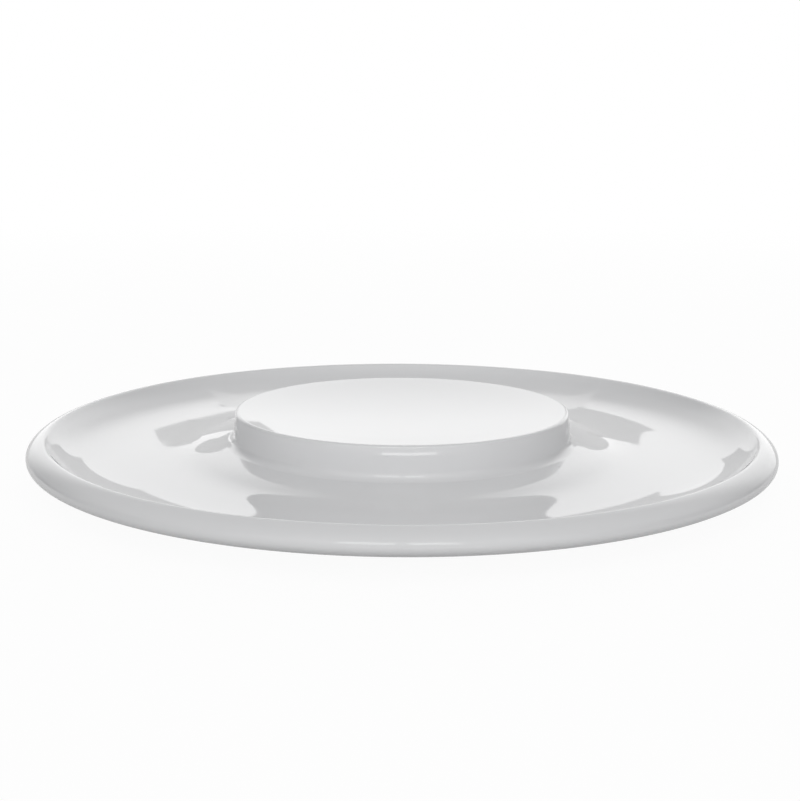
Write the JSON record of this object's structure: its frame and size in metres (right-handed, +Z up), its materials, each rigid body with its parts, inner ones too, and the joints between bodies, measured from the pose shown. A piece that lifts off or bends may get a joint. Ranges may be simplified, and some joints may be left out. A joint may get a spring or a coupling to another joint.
{
  "type": "plate",
  "caption": "Round white glazed porcelain serving plate with a shallow well, a rolled rim and a raised, dished centre, standing on a foot ring.",
  "frame": {"origin": "centre of the foot ring's standing face, on the table", "axes": "+Z up along the plate's axis of symmetry; X and Y lie in the table, and every direction round the axis is alike"},
  "size_m": [0.32, 0.32, 0.0269],
  "materials": {
    "glazed_porcelain": "high-gloss clear glaze over white porcelain, bare and matt on the foot ring's standing face"
  },
  "bodies": {
    "root": {"plate_body": "glazed_porcelain"}
  },
  "joints": []
}
